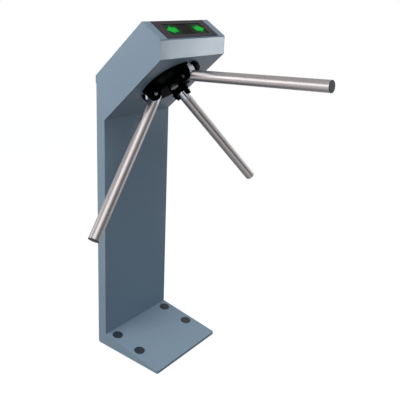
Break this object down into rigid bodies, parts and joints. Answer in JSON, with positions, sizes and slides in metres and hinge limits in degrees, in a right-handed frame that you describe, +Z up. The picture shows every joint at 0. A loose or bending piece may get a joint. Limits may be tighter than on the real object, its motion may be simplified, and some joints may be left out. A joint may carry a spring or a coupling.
{
  "type": "tripod turnstile",
  "caption": "Waist-high tripod turnstile: folded steel column on a wedge foot, leaning head with arrow display, black rotor and stainless arms on a cone.",
  "frame": {"origin": "centre of the anchor-hole pattern, on the floor plane under the foot", "axes": "+Z up, +X out of the column across the passage, towards the arm that bars it, +Y along the passage"},
  "size_m": [0.6802, 0.7398, 1.05],
  "materials": {
    "housing_paint": "satin metallic blue-grey powder coat",
    "rotor_black": "satin black powder coat",
    "tube_steel": "brushed along the tube",
    "polished_steel": "polished",
    "zinc_steel": "zinc plated",
    "machined_steel": "machined",
    "dark_plastic": "fine texture",
    "bezel_plastic": "gloss",
    "window_tint": "clear dark tint, polished",
    "green_light": "lit diffuser",
    "red_light": "unlit diffuser",
    "circuit_board": "solder mask",
    "copper_winding": "enamelled copper wire",
    "brass_part": "turned",
    "rubber_black": "smooth"
  },
  "bodies": {
    "stand": {"stand_frame": "housing_paint", "floor_plate": "zinc_steel", "cable_grommet": "rubber_black", "anchor_caps": "dark_plastic", "mechanism_plate": "zinc_steel", "plate_nuts": "zinc_steel", "bearing_housing": "machined_steel", "housing_screws": "zinc_steel", "bearing_outer_rings": "polished_steel", "bearing_balls": "polished_steel", "homing_axle": "machined_steel", "spring_post": "machined_steel", "homing_spring": "polished_steel", "damper_body": "rotor_black", "pawl_pins": "machined_steel", "solenoid_brackets": "zinc_steel", "unit_screws": "zinc_steel", "solenoid_frames": "zinc_steel", "solenoid_coils": "copper_winding", "sensor_posts": "brass_part", "sensor_forks": "dark_plastic", "board_standoffs": "brass_part", "control_board": "circuit_board", "board_components": "dark_plastic"},
    "rotor": {"rotor_hub": "rotor_black", "rotor_shaft": "machined_steel", "bearing_inner_rings": "polished_steel", "shaft_spacers": "machined_steel", "lock_disc": "machined_steel", "main_gear": "machined_steel", "encoder_disc": "dark_plastic", "shaft_nut": "zinc_steel", "hub_washer": "rotor_black", "hub_bolt": "zinc_steel", "arm_roots": "polished_steel", "arm_bolts": "polished_steel", "arm_nuts": "rotor_black", "arm_tube_1": "tube_steel", "arm_tube_2": "tube_steel", "arm_tube_3": "tube_steel", "arm_end_caps": "dark_plastic"},
    "homing_crank": {"homing_gear": "machined_steel", "crank_pin": "machined_steel"},
    "damper_rotor": {"damper_pinion": "machined_steel"},
    "entry_lock": {"locking_pawl_entry": "machined_steel"},
    "exit_lock": {"locking_pawl_exit": "machined_steel"},
    "entry_core": {"plunger_entry": "polished_steel"},
    "exit_core": {"plunger_exit": "polished_steel"},
    "lid": {"top_lid": "housing_paint", "display_bezel": "bezel_plastic", "display_window": "window_tint", "arrow_light_left": "green_light", "arrow_light_right": "green_light", "stop_light": "red_light", "display_board": "circuit_board", "display_screws": "zinc_steel", "lock_housing": "polished_steel", "lock_ring_nut": "zinc_steel"},
    "lid_lock": {"lock_plug": "brass_part", "lock_cam": "zinc_steel"}
  },
  "joints": [
    {"name": "rotor_spin", "type": "hinge", "parent": "stand", "child": "rotor", "pos_m": [0.05141, 0, 0.87564], "axis": [0.6785, 0, -0.7346], "continuous": true},
    {"name": "homing_spin", "type": "hinge", "parent": "stand", "child": "homing_crank", "pos_m": [-0.00148, 0, 0.82678], "axis": [0.6785, 0, -0.7346], "continuous": true, "deforming": ["homing_spring"]},
    {"name": "damper_spin", "type": "hinge", "parent": "stand", "child": "damper_rotor", "pos_m": [0.10099, 0, 0.92144], "axis": [0.6785, 0, -0.7346], "continuous": true},
    {"name": "entry_pawl_swing", "type": "hinge", "parent": "stand", "child": "entry_lock", "pos_m": [0.08446, -0.0535, 0.90617], "axis": [0.6785, 0, -0.7346], "range_deg": [0, 9]},
    {"name": "exit_pawl_swing", "type": "hinge", "parent": "stand", "child": "exit_lock", "pos_m": [0.08446, 0.0535, 0.90617], "axis": [-0.6785, 0, 0.7346], "range_deg": [0, 9]},
    {"name": "entry_plunger_slide", "type": "slide", "parent": "stand", "child": "entry_core", "axis": [0, -1, 0], "range_m": [0, 0.0041]},
    {"name": "exit_plunger_slide", "type": "slide", "parent": "stand", "child": "exit_core", "axis": [0, 1, 0], "range_m": [0, 0.0041]},
    {"name": "lid_lift", "type": "slide", "parent": "stand", "child": "lid", "axis": [0, 0, 1], "range_m": [0, 0.12]},
    {"name": "lock_turn", "type": "hinge", "parent": "lid", "child": "lid_lock", "pos_m": [-0.07718, 0, 0.91729], "axis": [-0.6727, 0, 0.7399], "range_deg": [0, 90]}
  ],
  "couplings": [
    {"joint": "homing_spin", "follows": "rotor_spin", "ratio": -3},
    {"joint": "damper_spin", "follows": "rotor_spin", "ratio": -4},
    {"joint": "entry_plunger_slide", "follows": "entry_pawl_swing", "m_per_rad": 0.025893},
    {"joint": "exit_plunger_slide", "follows": "exit_pawl_swing", "m_per_rad": 0.025893}
  ]
}
